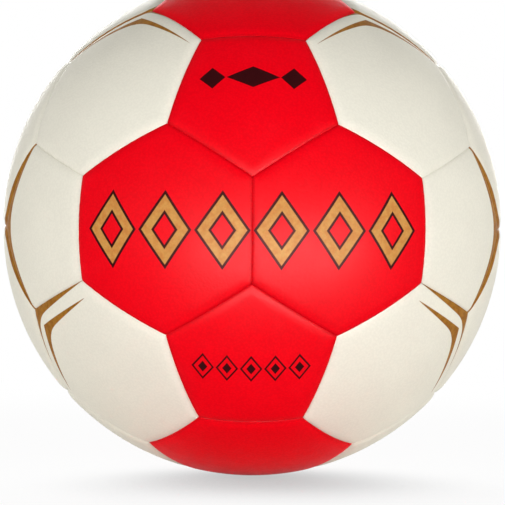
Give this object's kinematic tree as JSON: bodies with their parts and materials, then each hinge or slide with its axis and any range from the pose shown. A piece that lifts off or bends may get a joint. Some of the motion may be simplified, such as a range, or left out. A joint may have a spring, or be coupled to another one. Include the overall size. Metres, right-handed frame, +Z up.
{
  "type": "handball",
  "caption": "Hand-stitched handball: red and white pentagon and hexagon panels with foam and lining, sewn around a rubber bladder with a needle valve.",
  "frame": {"origin": "centre of the ball", "axes": "+X right, -Y towards the viewer of the picture, +Z up; the front is the middle of the seam between the two red hexagon panels"},
  "size_m": [0.1878, 0.1878, 0.1878],
  "materials": {
    "red_cover": "satin",
    "white_cover": "satin",
    "foam": "matte",
    "lining": "matte",
    "thread": "matte",
    "bladder_rubber": "matte",
    "valve_rubber": "satin"
  },
  "bodies": {
    "ball": {"hexagon_panel_back_left": "red_cover", "hexagon_panel_back_left_lower": "white_cover", "hexagon_panel_back_left_upper": "white_cover", "hexagon_panel_back_right": "red_cover", "hexagon_panel_back_right_lower": "white_cover", "hexagon_panel_back_right_upper": "white_cover", "hexagon_panel_bottom_back": "red_cover", "hexagon_panel_bottom_front": "red_cover", "hexagon_panel_front_left": "red_cover", "hexagon_panel_front_left_lower": "white_cover", "hexagon_panel_front_left_upper": "white_cover", "hexagon_panel_front_right": "red_cover", "hexagon_panel_front_right_lower": "white_cover", "hexagon_panel_front_right_upper": "white_cover", "hexagon_panel_left_lower": "white_cover", "hexagon_panel_left_upper": "white_cover", "hexagon_panel_right_lower": "white_cover", "hexagon_panel_right_upper": "white_cover", "hexagon_panel_top_back": "red_cover", "hexagon_panel_top_front": "red_cover", "pentagon_panel_back_lower": "red_cover", "pentagon_panel_back_upper": "red_cover", "pentagon_panel_bottom_left": "white_cover", "pentagon_panel_bottom_right": "white_cover", "pentagon_panel_front_lower": "red_cover", "pentagon_panel_front_upper": "red_cover", "pentagon_panel_left_back": "white_cover", "pentagon_panel_left_front": "white_cover", "pentagon_panel_right_back": "white_cover", "pentagon_panel_right_front": "white_cover", "pentagon_panel_top_left": "white_cover", "pentagon_panel_top_right": "white_cover", "bladder": "bladder_rubber", "hexagon_foam_pads": "foam", "hexagon_linings": "lining", "hexagon_seam_stitching": "thread", "pentagon_foam_pads": "foam", "pentagon_linings": "lining", "pentagon_seam_stitching": "thread", "valve_housing": "valve_rubber"},
    "core": {"valve_core": "valve_rubber"}
  },
  "joints": [
    {"name": "valve_core_pull", "type": "slide", "parent": "ball", "child": "core", "axis": [0.5774, 0.5774, 0.5774], "range_m": [0, 0.02]}
  ]
}
